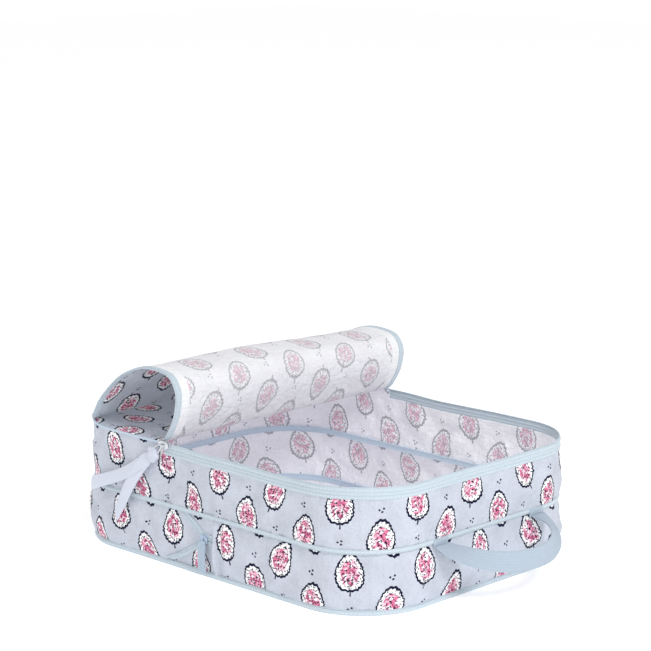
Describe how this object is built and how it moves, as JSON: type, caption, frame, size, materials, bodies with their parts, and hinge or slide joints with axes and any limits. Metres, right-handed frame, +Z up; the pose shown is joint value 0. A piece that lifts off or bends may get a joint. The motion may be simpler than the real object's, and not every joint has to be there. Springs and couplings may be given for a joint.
{
  "type": "packing cube",
  "caption": "Expandable soft packing cube with a zipped roll-back lid, an expansion zip round its middle, a webbing carry handle and a ribbon zip pull.",
  "frame": {"origin": "centre of the base's underside, on the surface that the cube stands on", "axes": "+Z up, +X towards the handle end, the lid folds back towards -X, zip sliders on the -Y side"},
  "size_m": [0.424, 0.2906, 0.1688],
  "materials": {
    "printed_cloth": "printed ripstop cloth, lightly coated",
    "zip_tape": "woven zip tape",
    "zip_coil": "nylon coil",
    "binding": "seam binding",
    "webbing": "ribbed narrow webbing",
    "ribbon": "smooth narrow ribbon",
    "slider_metal": "bright cast metal",
    "slider_enamel": "painted to match the tape"
  },
  "bodies": {
    "base": {"base_panel": "printed_cloth", "expansion_tape_lower": "zip_tape", "expansion_coil_lower": "zip_coil", "gusset": "printed_cloth", "base_seam_binding": "binding", "expansion_tape_split": "zip_tape"},
    "upper_tier": {"expansion_tape_upper": "zip_tape", "expansion_coil_upper": "zip_coil", "middle_seam_binding": "binding", "front_wall": "printed_cloth", "lid_zip_tape_wall": "zip_tape", "lid_zip_coil_wall": "zip_coil", "rear_wall": "printed_cloth", "rear_top_panel": "printed_cloth", "lid_zip_stop_left": "zip_coil", "lid_zip_stop_right": "zip_coil", "handle_patch_left": "webbing", "handle_patch_right": "webbing"},
    "lid_1": {"lid_panel_1": "printed_cloth", "lid_zip_tape_1_left": "zip_tape", "lid_zip_tape_1_right": "zip_tape"},
    "lid_2": {"lid_panel_2": "printed_cloth", "lid_zip_tape_2_left": "zip_tape", "lid_zip_tape_2_right": "zip_tape"},
    "lid_3": {"lid_panel_3": "printed_cloth", "lid_zip_tape_3_left": "zip_tape", "lid_zip_tape_3_right": "zip_tape"},
    "lid_4": {"lid_panel_4": "printed_cloth", "lid_zip_tape_4_left": "zip_tape", "lid_zip_tape_4_right": "zip_tape"},
    "lid_5": {"lid_panel_5": "printed_cloth", "lid_zip_tape_5_left": "zip_tape", "lid_zip_tape_5_right": "zip_tape"},
    "lid_6": {"lid_panel_6": "printed_cloth", "lid_zip_tape_6_left": "zip_tape", "lid_zip_tape_6_right": "zip_tape"},
    "lid_7": {"lid_panel_7": "printed_cloth", "lid_zip_tape_7_left": "zip_tape", "lid_zip_tape_7_right": "zip_tape"},
    "lid_8": {"lid_panel_8": "printed_cloth", "lid_zip_tape_8_end": "zip_tape"},
    "lid_slider": {"lid_zip_slider": "slider_metal"},
    "lid_pull": {"lid_zip_pull": "slider_metal", "ribbon_knot": "ribbon", "ribbon_tail_long": "ribbon", "ribbon_tail_short": "ribbon"},
    "expansion_slider": {"expansion_slider": "slider_enamel"},
    "expansion_pull": {"expansion_pull": "ribbon"},
    "handle": {"handle_webbing": "webbing"}
  },
  "joints": [
    {"name": "tier_collapse", "type": "slide", "parent": "base", "child": "upper_tier", "axis": [0, 0, -1], "range_m": [0, 0.042], "deforming": ["expansion_tape_split"]},
    {"name": "lid_fold_1", "type": "hinge", "parent": "upper_tier", "child": "lid_1", "pos_m": [-0.05, 0, 0.1068], "axis": [0, 1, 0], "range_deg": [0, 59]},
    {"name": "lid_fold_2", "type": "hinge", "parent": "lid_1", "child": "lid_2", "pos_m": [-0.03662, 0, 0.12908], "axis": [0, 1, 0], "range_deg": [0, 21.01]},
    {"name": "lid_fold_3", "type": "hinge", "parent": "lid_2", "child": "lid_3", "pos_m": [-0.03279, 0, 0.15074], "axis": [0, 1, 0], "range_deg": [0, 42.01]},
    {"name": "lid_fold_4", "type": "hinge", "parent": "lid_3", "child": "lid_4", "pos_m": [-0.04233, 0, 0.16601], "axis": [0, 1, 0], "range_deg": [0, 54.01]},
    {"name": "lid_fold_5", "type": "hinge", "parent": "lid_4", "child": "lid_5", "pos_m": [-0.07625, 0, 0.16838], "axis": [0, 1, 0], "range_deg": [0, 27.01]},
    {"name": "lid_fold_6", "type": "hinge", "parent": "lid_5", "child": "lid_6", "pos_m": [-0.10755, 0, 0.15509], "axis": [0, 1, 0], "range_deg": [0, 20.01]},
    {"name": "lid_fold_7", "type": "hinge", "parent": "lid_6", "child": "lid_7", "pos_m": [-0.13241, 0, 0.13191], "axis": [0, 1, 0], "range_deg": [0, 11.07]},
    {"name": "lid_fold_8", "type": "hinge", "parent": "lid_7", "child": "lid_8", "pos_m": [-0.15061, 0, 0.1068], "axis": [0, 1, 0], "range_deg": [-54.07, 0]},
    {"name": "lid_zip_slide", "type": "slide", "parent": "upper_tier", "child": "lid_slider", "axis": [1, 0, 0], "range_m": [0, 0.165]},
    {"name": "lid_pull_swing", "type": "hinge", "parent": "lid_slider", "child": "lid_pull", "pos_m": [-0.0485, -0.1457, 0.105], "axis": [0, 1, 0], "range_deg": [-60, 40]},
    {"name": "expansion_zip_slide", "type": "slide", "parent": "base", "child": "expansion_slider", "axis": [0.9763, 0, -0.2165], "range_m": [0, 0.1178]},
    {"name": "expansion_pull_swing", "type": "hinge", "parent": "expansion_slider", "child": "expansion_pull", "pos_m": [0, -0.1442, 0.032], "axis": [1, 0, 0], "range_deg": [-150, 0]},
    {"name": "handle_swing", "type": "hinge", "parent": "upper_tier", "child": "handle", "pos_m": [0.1861, 0.0065, 0.0486], "axis": [0, 1, 0], "range_deg": [-75, 25]}
  ],
  "couplings": [
    {"joint": "lid_fold_2", "follows": "lid_fold_1", "ratio": 0.35593},
    {"joint": "lid_fold_3", "follows": "lid_fold_1", "ratio": 0.71186},
    {"joint": "lid_fold_4", "follows": "lid_fold_1", "ratio": 0.91525},
    {"joint": "lid_fold_5", "follows": "lid_fold_1", "ratio": 0.45763},
    {"joint": "lid_fold_6", "follows": "lid_fold_1", "ratio": 0.33898},
    {"joint": "lid_fold_7", "follows": "lid_fold_1", "ratio": 0.18751},
    {"joint": "lid_fold_8", "follows": "lid_fold_1", "ratio": -0.91632},
    {"joint": "expansion_zip_slide", "follows": "tier_collapse", "ratio": 2.8046}
  ]
}
